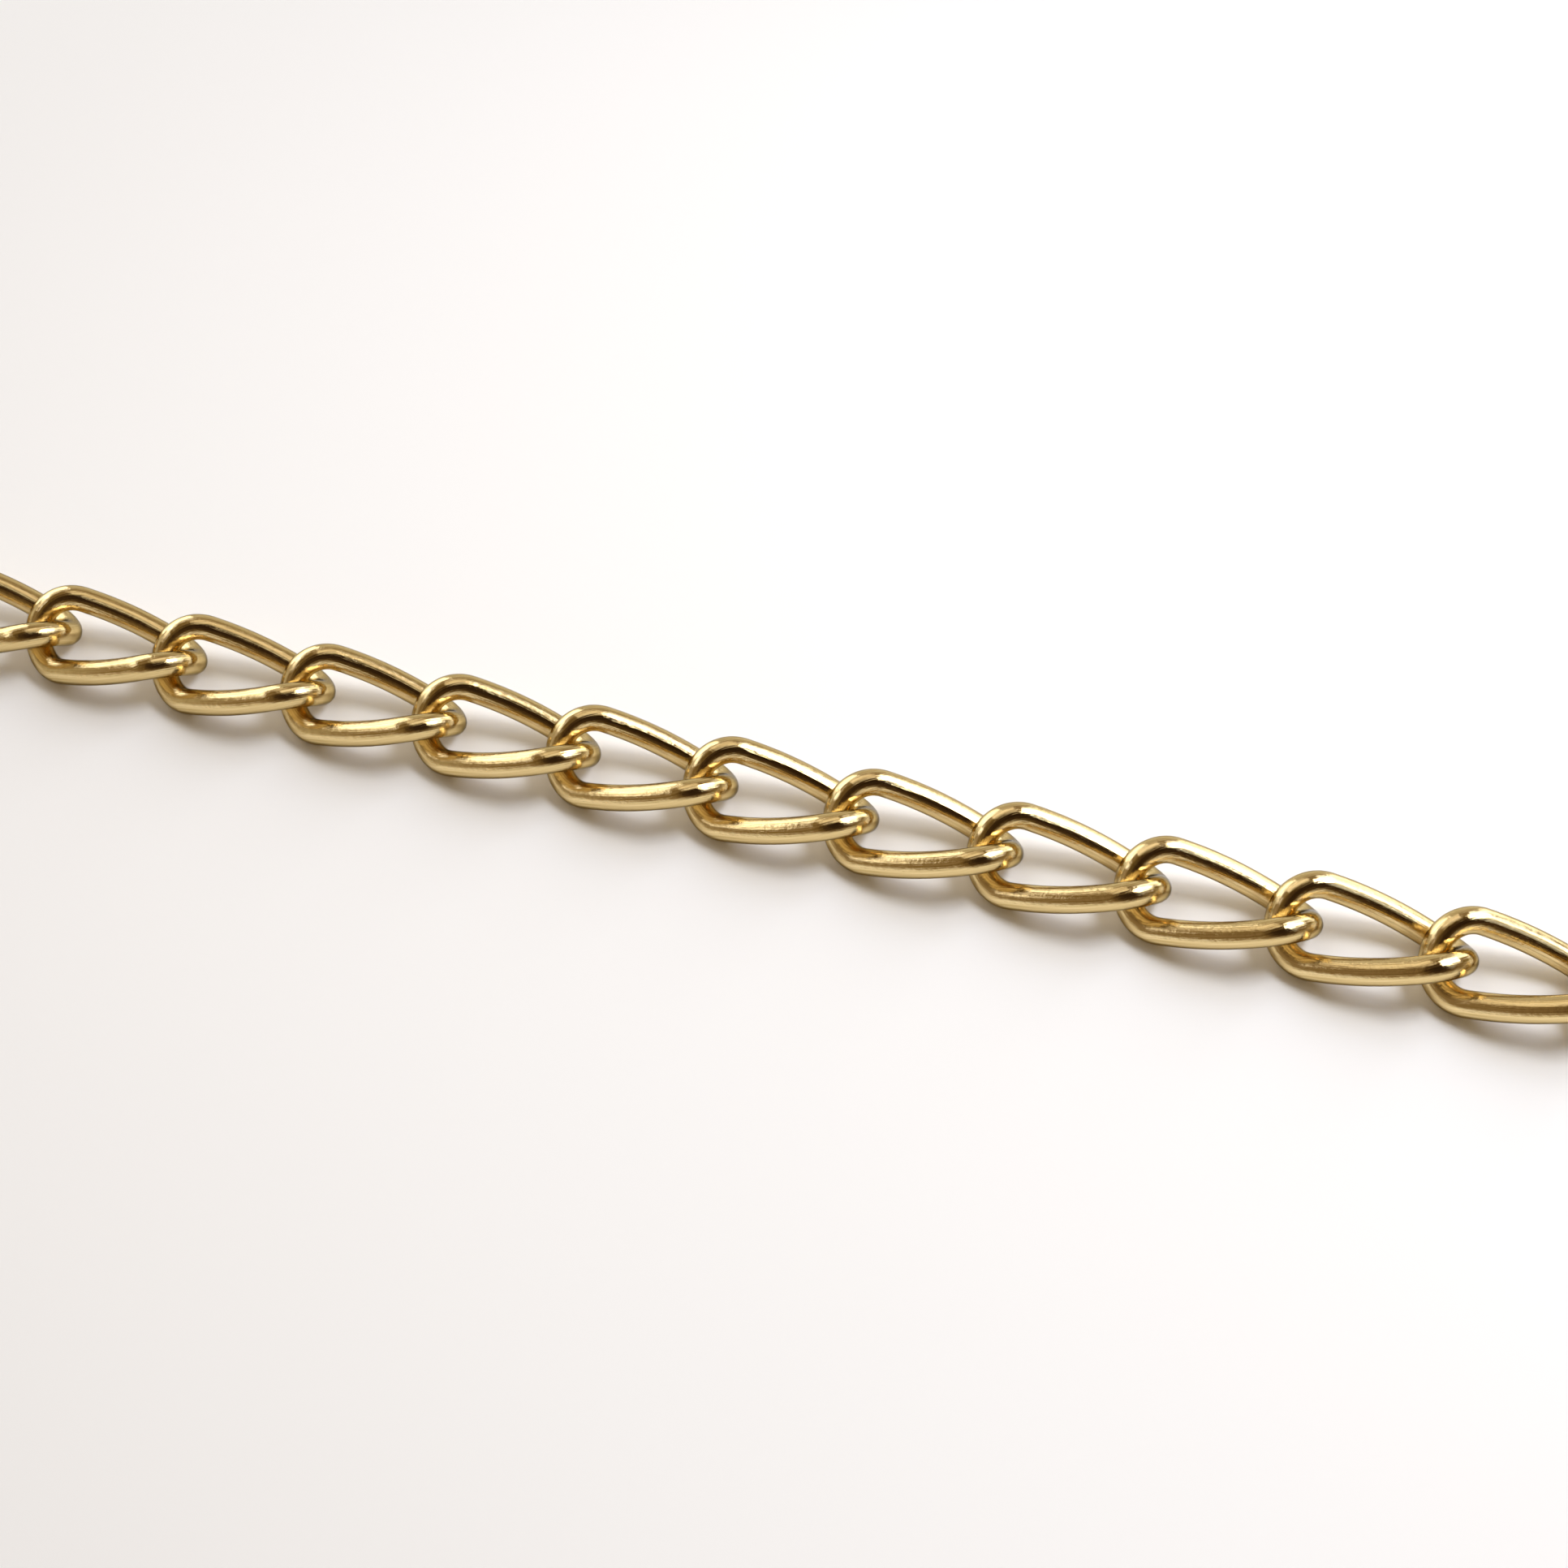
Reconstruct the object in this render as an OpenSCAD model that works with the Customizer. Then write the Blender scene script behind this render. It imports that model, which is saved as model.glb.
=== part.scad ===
// Pocket watch chain: twisted oval wire links, a T-bar for the waistcoat end and a swivel clip for the watch end.
// It lies on a flat surface at z = 0, with a straight run along X and both ends curled round to -Y.

/* [Link] */
// Thickness of the link wire
wire_d = 1.4; // [1.2:0.05:1.55]
// Length of a link over its wire
link_l = 10.54; // [9.6:0.02:12.5]
// Distance across the chain between the two corners of a bow's route
bow_w = 3.02; // [2.8:0.02:3.6]
// Height between the two corners of a bow's route, which is the link's twist
bow_rise = 3.48; // [3.1:0.02:4]
// Radius of the wire's bend where a leg turns into a bow
corner_r = 1.85; // [1.4:0.05:1.9]
// Swell of each leg's route past the bow's corners
belly = 0.75; // [0.5:0.05:1.1]

/* [Chain] */
// Links in the straight run
straight_links = 15; // [9:2:15]
// Links in the curl at each end
curl_links = 12; // [6:1:12]
// Turn from one link to the next in a curl, in degrees
curl_step = 15; // [10:1:15]
// Gap between two links' wires where they hang on each other
link_play = 0.1; // [0.08:0.01:0.2]
// Slack taken up at each turned joint, so that the legs stay clear
curl_ease = 0.1; // [0.08:0.01:0.25]

/* [T-bar] */
// Length of the bar over its end balls
bar_l = 26; // [20:0.5:32]
// Thickness of the bar
bar_d = 2.2; // [1.8:0.1:2.6]
// Diameter of the end balls
ball_d = 3.6; // [3:0.1:3.6]
// Diameter of the bead at the bar's middle
bead_d = 3.2; // [2.8:0.1:3.5]
// Width of that bead
bead_w = 2.4; // [2:0.1:3]
// Thickness of the loop's wire
loop_wire_d = 1.1; // [0.9:0.05:1.2]
// Inside diameter of the loop
loop_bore = 4.1; // [3.9:0.1:5]
// Lean of the loop from flat, in degrees
loop_tilt = 20; // [18:1:24]
// Length of the stem between the loop and the bead
stem_l = 1.2; // [0.8:0.1:2]
// Thickness of that stem
stem_d = 1.3; // [1:0.1:1.5]

/* [Swivel] */
// Thickness of the swivel eye's wire
eye_wire_d = 1.1; // [0.9:0.05:1.2]
// Inside diameter of the swivel eye
eye_bore = 2.9; // [2.8:0.05:3.1]
// Lean of the eye from flat, in degrees
eye_tilt = 35; // [20:1:35]
// Diameter of the swivel's shank
shank_d = 1.6; // [1.4:0.05:1.7]
// Diameter of the shoulder between the eye and the clip
shoulder_d = 2.4; // [2.2:0.1:2.8]
// Thickness of that shoulder
shoulder_t = 0.8; // [0.6:0.1:1.2]
// Diameter of the riveted head inside the collar
head_d = 2.4; // [2.2:0.05:2.5]
// Thickness of that head
head_t = 0.8; // [0.6:0.05:1]
// Radial clearance of the shank in its bore
shank_play = 0.05; // [0.03:0.01:0.09]
// Clearance round the head, and between the shoulder and the collar
head_play = 0.15; // [0.1:0.01:0.2]

/* [Clip] */
// Diameter of the clip's collar
collar_d = 3.6; // [3.5:0.02:3.64]
// Length of the collar's front wall, which the shank turns in
neck_l = 1.8; // [1.4:0.1:2.4]
// Length of the solid metal behind the head's cavity
web_l = 1; // [0.8:0.1:2]
// Radius of the round housing that holds the trigger
housing_r = 3.4; // [3.2:0.1:3.6]
// Thickness of the housing
housing_t = 3.4; // [3:0.05:3.5]
// Distance from the housing's centre to the hook's centre
hook_l = 8.8; // [8.4:0.1:10]
// Inside radius of the hook's round end
hook_r = 3.3; // [3.2:0.05:3.6]
// Width of the hook's metal
hook_w = 2.2; // [2:0.1:2.4]
// Thickness of the hook's metal
hook_t = 2.2; // [1.8:0.1:2.6]
// Inside radius of the opening beside the housing
throat_r = 2.9; // [2.8:0.05:3]
// Width of the mouth between the housing and the hook's tip
mouth_w = 3.4; // [3:0.1:3.6]

/* [Trigger] */
// Distance of the trigger's pin past the housing's centre
pin_x = 0.6; // [0.4:0.1:1]
// Distance of the pin from the clip's middle line
pin_y = 1.4; // [1.2:0.1:1.6]
// Diameter of the pin
pin_d = 0.9; // [0.7:0.05:1]
// Radial clearance of the trigger on the pin
pin_play = 0.04; // [0.02:0.01:0.08]
// Radius of the trigger's root round the pin
root_r = 1.2; // [1:0.05:1.3]
// Width of the trigger's arm
arm_w = 1.2; // [1:0.05:1.3]
// Thickness of the trigger
arm_t = 1.3; // [1.1:0.05:1.6]
// Gap between the trigger and the slot, and between its arm and the hook's tip
arm_play = 0.1; // [0.08:0.01:0.15]
// Lap of the arm inside the hook's tip
arm_lap = 1.4; // [1:0.1:1.8]
// Distance of the thumb tab from the pin
tab_x = 3.7; // [3.4:0.1:3.9]
// Length of the thumb tab, out from the arm's middle line
tab_l = 3; // [2.4:0.1:3.2]
// Thickness of the thumb tab's rounded end
tab_d = 1.3; // [1:0.1:1.4]
// Thickness of the leaf spring
leaf_t = 0.25; // [0.2:0.05:0.3]
// Room behind the trigger's root for the leaf spring's fixed end
leaf_room = 1.1; // [1:0.05:1.2]

/* [Hidden] */
$fn = 48;
cut = 1;            // how far a cutting solid runs past what it cuts
apex_flat = 0.1;    // least half length of the straight stretch at a bow's tip
swell = 0.01;       // how much thicker the wire is where it is bent at a bow's corners
seam_lap = 0.04;    // how far legs and tips run into those thicker bends
side_inset = 0.02;  // how deep a tapered outline's sides run inside its circles, to cross them cleanly

link_count = straight_links + 2 * curl_links;
middle = (link_count + 1) / 2;

// --- the link's route: two leg arcs, four corner arcs and two short bars that meet in line ---
bow_x = (link_l - wire_d) / 2;
corner = [bow_x, bow_w / 2, -bow_rise / 2];
leg_peak = [0, bow_w / 2 + belly, 0];
bow_dir = unit([0, bow_w, -bow_rise]);
leg_dir = unit(leg_peak - corner);
corner_turn = acos(bow_dir * leg_dir);
half_bow = norm([bow_w, bow_rise]) / 2;
bend_r = min(corner_r, (half_bow - apex_flat) / tan(corner_turn / 2));
bend_run = bend_r * tan(corner_turn / 2);
bend_in = unit(leg_dir - (leg_dir * bow_dir) * bow_dir);
bend_centre = corner - bend_run * bow_dir + bend_r * bend_in;
leg_turn = 2 * asin(leg_dir.y);
leg_r = (norm(leg_peak - corner) - bend_run) / tan(leg_turn / 2);
leg_centre = leg_peak - [0, leg_r / cos(leg_turn / 2), 0];
leg_out = unit([0, 1, 0] - leg_dir.y * leg_dir);
half_width = leg_centre.y + leg_r + wire_d / 2;
half_height = bend_r * norm([bend_in.z, bow_dir.z]) - bend_centre.z + (wire_d + swell) / 2;

// --- the chain's layout ---
pitch = 2 * bow_x - wire_d - link_play;
axis_z = half_height;
end_y = raw_place(1).y;
layout_y = -(half_width + end_y - bar_l / 2) / 2;

// --- T-bar, along its own X from the last link's bow ---
loop_r = (loop_bore + loop_wire_d) / 2;
loop_x = bow_x - (wire_d + loop_wire_d) / 2 - link_play + loop_r;
bar_x = loop_x + loop_r + loop_wire_d / 2 + stem_l + bead_d / 2;

// --- swivel and clip, along their own X from the last link's bow ---
eye_r = (eye_bore + eye_wire_d) / 2;
eye_x = bow_x - (wire_d + eye_wire_d) / 2 - link_play + eye_r;
shoulder_x = eye_x + eye_r + eye_wire_d / 4;
collar_x = shoulder_x + shoulder_t + head_play;
cavity_x = collar_x + neck_l;
cavity_l = head_t + 2 * head_play;
collar_l = neck_l + cavity_l + web_l;
housing_x = collar_x + collar_l + housing_r - web_l / 2;
hook_x = housing_x + hook_l;
throat_x = housing_x + housing_r + throat_r - arm_play;
outer_r = hook_r + hook_w;
tip_r = hook_w / 2;
tip_x = housing_x + housing_r + mouth_w + tip_r;
tip_y = -taper_y(housing_x, housing_r, hook_x, outer_r, tip_x) + tip_r;
pivot = [housing_x + pin_x, -pin_y];
arm_end = [tip_x + arm_lap - tip_r, tip_y + tip_r + arm_play + arm_w / 2];
arm_a = atan2(arm_end.y - pivot.y, arm_end.x - pivot.x);
arm_l = norm(arm_end - pivot);
slot_x = pivot.x - root_r - leaf_room;
slot_top = pin_y;
leaf_end = [housing_x + housing_r - leaf_t, pivot.y + arm_w / 2 + leaf_t / 2
            + (housing_r - leaf_t - pin_x) * tan(arm_a) + arm_play];

function unit(v) = v / norm(v);
function link_name(i) = str("link_", i < 10 ? "0" : "", i);
function along(angle) = [cos(angle), sin(angle), 0];

// Direction of link i, in degrees from +X
function heading(i) =
    i <= curl_links ? curl_step * (curl_links + 1 - i)
    : i > link_count - curl_links ? -curl_step * (i - link_count + curl_links)
    : 0;

// Step from the centre of link i to the centre of the next
function link_step(i) =
    let (ease = heading(i) == heading(i + 1) ? 0 : curl_ease)
    (pitch - ease) / 2 * (along(heading(i)) + along(heading(i + 1)));

// Centre of link i, from the middle link outwards
function raw_place(i) =
    i == middle ? [0, 0, 0]
    : i > middle ? raw_place(i - 1) + link_step(i - 1)
    : raw_place(i + 1) - link_step(i);

function place(i) = raw_place(i) + [0, layout_y, axis_z];

// Half width at x of the outline that wraps two circles on the middle line
function taper_y(x1, r1, x2, r2, x) =
    let (lean = asin((r2 - r1) / (x2 - x1)))
    (r1 + (x - x1) * sin(lean)) / cos(lean);

// Round wire bent about centre, from the direction start and first towards the direction ahead.
// It runs past both its ends by lap.
module bent_wire(centre, start, ahead, radius, turn, thickness, lap = 0) {
    side = cross(start, ahead);
    lap_turn = lap / radius * 180 / PI;
    multmatrix([
        [start.x, ahead.x, side.x, centre.x],
        [start.y, ahead.y, side.y, centre.y],
        [start.z, ahead.z, side.z, centre.z],
        [0, 0, 0, 1]
    ])
        rotate([0, 0, -lap_turn])
            rotate_extrude(angle = turn + 2 * lap_turn)
                translate([radius, 0])
                    circle(d = thickness);
}

// Straight round wire, centred on the origin, along the direction given
module straight_wire(direction, length, thickness) {
    rotate([0, acos(direction.z), atan2(direction.y, direction.x)])
        cylinder(d = thickness, h = length, center = true);
}

module leg() {
    bent_wire(leg_centre, leg_out, leg_dir, leg_r, leg_turn, wire_d, seam_lap);
}

module bow_tip() {
    translate([bow_x, 0, 0])
        straight_wire(bow_dir, 2 * (half_bow - bend_run + seam_lap), wire_d);
}

module bow_corner() {
    bent_wire(bend_centre, -bend_in, bow_dir, bend_r, corner_turn, wire_d + swell);
}

// One twisted oval link: half of it, and the same half turned about Z
module link() {
    for (half = [0, 180])
        rotate([0, 0, half]) {
            leg();
            bow_tip();
            bow_corner();
            rotate([180, 0, 0]) bow_corner();
        }
}

module placed_link(i) {
    color("gold")
        translate(place(i))
            rotate([0, 0, heading(i)])
                link();
}

// The frame of what hangs on the first link and on the last, X pointing away from the chain
module first_end() {
    translate(place(1)) rotate([0, 0, heading(1) + 180]) children();
}

module last_end() {
    translate(place(link_count)) rotate([0, 0, heading(link_count)]) children();
}

module bar_bead(clearance = 0) {
    translate([bar_x, 0, 0])
        rotate([90, 0, 0])
            cylinder(d = bead_d + clearance, h = bead_w, center = true);
}

module t_bar() {
    color("gold") first_end() {
        bar_bead();
        translate([bar_x, 0, 0])
            rotate([90, 0, 0])
                cylinder(d = bar_d, h = bar_l - ball_d, center = true);
        for (side = [-1, 1])
            translate([bar_x, side * (bar_l - ball_d) / 2, 0])
                sphere(d = ball_d);
    }
}

module t_bar_loop() {
    color("goldenrod") first_end() {
        translate([loop_x, 0, 0])
            rotate([loop_tilt, 0, 0])
                rotate_extrude() translate([loop_r, 0]) circle(d = loop_wire_d);
        difference() {
            translate([loop_x + loop_r, 0, 0])
                rotate([0, 90, 0])
                    cylinder(d = stem_d, h = bar_x - loop_x - loop_r);
            bar_bead();
        }
    }
}

module swivel_eye() {
    color("goldenrod") last_end() {
        translate([eye_x, 0, 0])
            rotate([eye_tilt, 0, 0])
                rotate_extrude() translate([eye_r, 0]) circle(d = eye_wire_d);
        translate([shoulder_x, 0, 0])
            rotate([0, 90, 0])
                cylinder(d = shoulder_d, h = shoulder_t);
        translate([shoulder_x, 0, 0])
            rotate([0, 90, 0])
                cylinder(d = shank_d, h = cavity_x + head_play + head_t - shoulder_x);
        translate([cavity_x + head_play, 0, 0])
            rotate([0, 90, 0])
                cylinder(d = head_d, h = head_t);
    }
}

// Outline that wraps two circles on the middle line
module tapered_outline(x1, r1, x2, r2) {
    lean = asin((r2 - r1) / (x2 - x1));
    near = (r1 - side_inset) * [sin(lean), cos(lean)];
    far = (r2 - side_inset) * [sin(lean), cos(lean)];
    translate([x1, 0]) circle(r = r1);
    translate([x2, 0]) circle(r = r2);
    polygon([
        [x1 - near.x, -near.y],
        [x2 - far.x, -far.y],
        [x2 - far.x, far.y],
        [x1 - near.x, near.y]
    ]);
}

module hook_plate() {
    linear_extrude(hook_t, center = true) {
        difference() {
            tapered_outline(housing_x, housing_r, hook_x, outer_r);
            tapered_outline(throat_x, throat_r, hook_x, hook_r);
            translate([housing_x, -outer_r - cut])
                square([tip_x - housing_x, outer_r + cut]);
        }
        translate([tip_x, tip_y]) circle(r = tip_r);
    }
}

module collar_bores() {
    translate([collar_x - cut, 0, 0])
        rotate([0, 90, 0])
            cylinder(r = shank_d / 2 + shank_play, h = neck_l + 2 * cut);
    translate([cavity_x, 0, 0])
        rotate([0, 90, 0])
            cylinder(r = head_d / 2 + head_play, h = cavity_l);
}

module trigger_slot() {
    slot_t = arm_t + 2 * arm_play;
    translate([slot_x, -housing_r - cut, -slot_t / 2])
        cube([2 * housing_r, housing_r + cut + slot_top, slot_t]);
}

module clip_body() {
    color("gold") last_end()
        difference() {
            union() {
                translate([collar_x, 0, 0])
                    rotate([0, 90, 0])
                        cylinder(d = collar_d, h = collar_l + web_l);
                translate([housing_x, 0, 0])
                    cylinder(r = housing_r, h = housing_t, center = true);
                hook_plate();
            }
            collar_bores();
            trigger_slot();
            translate([pivot.x, pivot.y, 0])
                cylinder(d = pin_d, h = housing_t + 2 * cut, center = true);
        }
}

module trigger() {
    color("goldenrod") last_end()
        translate([pivot.x, pivot.y, -arm_t / 2])
            rotate([0, 0, arm_a])
                difference() {
                    union() {
                        cylinder(r = root_r, h = arm_t);
                        translate([0, -arm_w / 2, 0]) cube([arm_l, arm_w, arm_t]);
                        translate([arm_l, 0, 0]) cylinder(d = arm_w, h = arm_t);
                        translate([tab_x - tab_d / 2, -tab_l, 0]) cube([tab_d, tab_l, arm_t]);
                        translate([tab_x, -tab_l, 0]) cylinder(d = tab_d, h = arm_t);
                    }
                    translate([0, 0, -cut])
                        cylinder(r = pin_d / 2 + pin_play, h = arm_t + 2 * cut);
                }
}

module trigger_pin() {
    color("goldenrod") last_end()
        translate([pivot.x, pivot.y, 0])
            cylinder(d = pin_d, h = housing_t, center = true);
}

// Leaf spring that leans on the arm, from the slot's end wall
module trigger_spring() {
    leaf_start = [slot_x, slot_top - leaf_t];
    color("silver") last_end()
        linear_extrude(arm_t, center = true)
            polygon([
                leaf_start,
                leaf_end - [0, leaf_t / 2],
                leaf_end + [0, leaf_t / 2],
                leaf_start + [0, leaf_t]
            ]);
}

for (i = [1 : link_count])
    placed_link(i);
t_bar();
t_bar_loop();
swivel_eye();
clip_body();
trigger();
trigger_pin();
trigger_spring();
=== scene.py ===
# %% [markdown]
# # A pocket watch chain
#
# A watch chain is a curb chain: every link is a ring of round wire that was bent into an oval and then twisted,
# so that its two bows stand across each other and the whole chain lies flat. A T-bar at one end goes through a
# waistcoat buttonhole, and a swivel clip at the other end holds the watch.
#
# The sizes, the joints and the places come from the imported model. This lesson gives the chain its surfaces:
# each piece is a surface that numpy works out on a grid, and each finish is a small tree of shader nodes.

# %% Load the frame
import math

import bpy
import numpy as np
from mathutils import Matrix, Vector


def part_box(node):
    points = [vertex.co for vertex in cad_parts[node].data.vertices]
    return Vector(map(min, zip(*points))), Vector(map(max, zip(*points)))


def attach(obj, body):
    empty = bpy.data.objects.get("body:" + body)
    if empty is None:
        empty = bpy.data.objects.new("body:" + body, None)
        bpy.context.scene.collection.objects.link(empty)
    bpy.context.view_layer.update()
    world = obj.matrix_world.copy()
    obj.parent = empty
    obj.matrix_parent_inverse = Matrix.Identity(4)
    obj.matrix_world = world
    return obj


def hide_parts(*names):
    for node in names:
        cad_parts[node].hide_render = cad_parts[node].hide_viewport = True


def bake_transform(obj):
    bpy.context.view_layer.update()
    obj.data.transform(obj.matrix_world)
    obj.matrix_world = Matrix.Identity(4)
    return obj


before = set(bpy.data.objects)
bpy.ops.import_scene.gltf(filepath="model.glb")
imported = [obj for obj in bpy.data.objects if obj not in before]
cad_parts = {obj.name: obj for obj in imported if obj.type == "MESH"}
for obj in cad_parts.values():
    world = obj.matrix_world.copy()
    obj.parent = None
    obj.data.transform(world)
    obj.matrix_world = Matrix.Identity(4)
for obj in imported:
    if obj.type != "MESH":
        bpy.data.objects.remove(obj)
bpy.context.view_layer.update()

# %% [markdown]
# ## Where the links lie
#
# Every link has the same shape, so one link is worked out once and then laid in its place 39 times. Its place is
# the centre of its box in the frame. Its heading follows the layout: the chain runs straight in the middle, and
# each joint of a curl turns it by the same angle.

# %% Places and headings
MM = 0.001
CURL_LINKS = 12
CURL_STEP = math.radians(15)

link_names = sorted(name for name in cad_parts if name.startswith("link_"))
link_count = len(link_names)
corners = np.array([[list(corner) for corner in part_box(name)] for name in link_names])
link_centres = corners.mean(axis=1)
number = np.arange(1, link_count + 1)
headings = CURL_STEP * (np.clip(CURL_LINKS + 1 - number, 0, None)
                        - np.clip(number - link_count + CURL_LINKS, 0, None))
print(link_count, "links, headings in degrees:", np.degrees(headings).round().astype(int).tolist())


# %% Placing arrays of points
def placed(points, centre, heading):
    """Points turned about Z by heading and then moved to centre."""
    c, s = math.cos(heading), math.sin(heading)
    turn = np.array([[c, -s, 0], [s, c, 0], [0, 0, 1]])
    return points @ turn.T + centre


def at_bar_end(points):
    """Points given with X leading away from link 1, laid at the chain's T-bar end."""
    return placed(points, link_centres[0], headings[0] + math.pi)


def at_clip_end(points):
    """Points given with X leading away from the last link, laid at the chain's clip end."""
    return placed(points, link_centres[-1], headings[-1])


# %% [markdown]
# ## From rings to a mesh
#
# Wire is a row of rings that follow a route. One function joins the rings into faces, and notes for every corner
# how far it lies along the wire and round it, in millimetres. The drawing lines can then follow the wire wherever
# it bends.

# %% Rings to faces
def shell(rings, closed=False):
    """Vertices, faces and corner UVs of a surface through n rings of m points, an array (n, m, 3).

    Face (i, j) joins points j and j + 1 of rings i and i + 1, counted round. If closed, the last ring joins the
    first. If not, each end closes in a fan on the middle of its ring. U is the mean distance along the rings and
    V the mean distance round them, both in millimetres.
    """
    n, m, _ = rings.shape
    points = rings.reshape(-1, 3)
    i, j = np.meshgrid(np.arange(n if closed else n - 1), np.arange(m), indexing="ij")
    i, j = i.ravel(), j.ravel()
    after_i, after_j = (i + 1) % n, (j + 1) % m
    quads = np.stack([i * m + j, after_i * m + j, after_i * m + after_j, i * m + after_j], axis=1)
    step = np.linalg.norm(np.diff(np.concatenate([rings, rings[:1]]), axis=0), axis=2).mean(axis=1)
    along = np.concatenate([[0], np.cumsum(step)]) / MM
    chord = np.linalg.norm(np.roll(rings, -1, axis=1) - rings, axis=2).mean()
    around = np.arange(m + 1) * chord / MM
    corner_u = np.stack([along[i], along[i + 1], along[i + 1], along[i]], axis=1)
    corner_v = np.stack([around[j], around[j], around[j + 1], around[j + 1]], axis=1)
    faces = quads.tolist()
    uvs = np.stack([corner_u, corner_v], axis=2).reshape(-1, 2)
    if not closed:
        poles = rings[[0, -1]].mean(axis=1)
        points = np.concatenate([points, poles])
        ring = np.arange(m)
        first = np.stack([ring, (ring + 1) % m, np.full(m, n * m)], axis=1)
        last = np.stack([(n - 1) * m + (ring + 1) % m, (n - 1) * m + ring, np.full(m, n * m + 1)], axis=1)
        faces += first.tolist() + last.tolist()
        flat = np.stack([np.zeros(m), around[:-1]], axis=1)
        uvs = np.concatenate([uvs, np.repeat(flat, 3, axis=0), np.repeat(flat + [along[n - 1], 0], 3, axis=0)])
    return points, faces, uvs


# %% A mesh to a piece
def piece(name, points, faces, material, body, node, uvs=None):
    """A smooth mesh object that rides on a body, hides the node of the model that it replaces, and takes the given
    material.

    A piece that bends across a joint has None for its body, and is left on no body.
    """
    mesh = bpy.data.meshes.new(name)
    mesh.from_pydata(points.tolist(), [], faces)
    if uvs is not None:
        mesh.uv_layers.new(name="wire").data.foreach_set("uv", uvs.ravel())
    mesh.shade_smooth()
    mesh.materials.append(material)
    made = bpy.data.objects.new(name, mesh)
    bpy.context.scene.collection.objects.link(made)
    if body:
        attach(made, body)
    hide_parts(node)
    return made


# %% [markdown]
# ## The finish: polished gold plate
#
# The wire is brass that was drawn through a die, bent, soldered, polished and gold plated. Drawing leaves very
# fine lines along the wire. Polishing softens them and leaves the faint ripple that jewellers call orange peel.
# Both are far too small to model, but they break up the edges of every reflection, and that sparkle is what makes
# metal look like metal. Gold itself is a mirror with a colour: it is fully metallic, and its base colour is what
# it reflects straight on.

# %% Colours and one node helper
def linear(code):
    """An sRGB colour such as "f2cf8c" as linear RGB with an alpha of 1."""
    values = [int(code[k:k + 2], 16) / 255 for k in (0, 2, 4)]
    return [v / 12.92 if v <= 0.04045 else ((v + 0.055) / 1.055) ** 2.4 for v in values] + [1.0]


def add(tree, kind, inputs=(), **settings):
    """Adds a node. inputs pairs a socket's name or number with a value, or with the output that feeds it."""
    made = tree.nodes.new(kind)
    for key, value in settings.items():
        setattr(made, key, value)
    for key, value in dict(inputs).items():
        if isinstance(value, bpy.types.NodeSocket):
            tree.links.new(value, made.inputs[key])
        else:
            made.inputs[key].default_value = value
    return made


def new_material(name):
    """An empty node material and its tree, with only an output node in it."""
    material = bpy.data.materials.new(name)
    material.use_nodes = True
    material.node_tree.nodes.clear()
    return material, material.node_tree


# %% Gold plate
PEEL_MM = 0.30         # width of an orange peel ripple
PEEL_HIGH = 13e-6      # its height, in metres
WAVE_MM = 1.3          # width of the slow swells that bending and polishing leave
WAVE_HIGH = 10e-6
LINE_MM = 0.11         # spacing of the drawing lines, drawn coarser than the real ones so that they show
LINE_HIGH = 16e-6
LINE_RUN_MM = 7.0      # length of one drawing line
GOLD_PALE = "ecd49e"
GOLD_DEEP = "ceb377"   # the colour where the grain is strongest


def gold_plate(name, drawn):
    """Polished gold plate. If drawn, it has the drawing lines of wire, which follow the piece's UVs."""
    material, tree = new_material(name)
    place = add(tree, "ShaderNodeTexCoord")
    wave = add(tree, "ShaderNodeTexNoise", {"Vector": place.outputs["Object"], "Scale": 1 / (WAVE_MM * MM),
                                            "Detail": 1.0})
    peel = add(tree, "ShaderNodeTexNoise", {"Vector": place.outputs["Object"], "Scale": 1 / (PEEL_MM * MM),
                                            "Detail": 2.0})
    swell = add(tree, "ShaderNodeBump", {"Strength": 1.0, "Distance": WAVE_HIGH, "Height": wave.outputs["Fac"]})
    surface = add(tree, "ShaderNodeBump", {"Strength": 1.0, "Distance": PEEL_HIGH, "Height": peel.outputs["Fac"],
                                           "Normal": swell.outputs["Normal"]})
    grain, grain_share = peel, 0.3
    if drawn:
        wire = add(tree, "ShaderNodeUVMap", uv_map="wire")
        stretched = add(tree, "ShaderNodeMapping", {"Vector": wire.outputs["UV"],
                                                    "Scale": (1 / LINE_RUN_MM, 1 / LINE_MM, 1)})
        grain, grain_share = add(tree, "ShaderNodeTexNoise", {"Vector": stretched.outputs["Vector"], "Scale": 1.0,
                                                              "Detail": 4.0, "Roughness": 0.65}), 1.0
        surface = add(tree, "ShaderNodeBump", {"Strength": 1.0, "Distance": LINE_HIGH, "Height": grain.outputs["Fac"],
                                               "Normal": surface.outputs["Normal"]})
    haze = add(tree, "ShaderNodeMapRange", {"Value": wave.outputs["Fac"], "From Min": 0.3, "From Max": 0.7,
                                            "To Min": 0.06, "To Max": 0.10})
    tone = add(tree, "ShaderNodeMapRange", {"Value": grain.outputs["Fac"], "From Min": 0.35, "From Max": 0.65,
                                            "To Max": grain_share})
    colour = add(tree, "ShaderNodeMix", {"Factor": tone.outputs["Result"], 6: linear(GOLD_PALE),
                                         7: linear(GOLD_DEEP)}, data_type="RGBA")
    shader = add(tree, "ShaderNodeBsdfPrincipled", {"Base Color": colour.outputs[2], "Metallic": 1.0,
                                                    "Roughness": haze.outputs["Result"],
                                                    "Specular Tint": linear("9c9c9c"),
                                                    "Normal": surface.outputs["Normal"]})
    add(tree, "ShaderNodeOutputMaterial", {"Surface": shader.outputs["BSDF"]})
    return material


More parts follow.
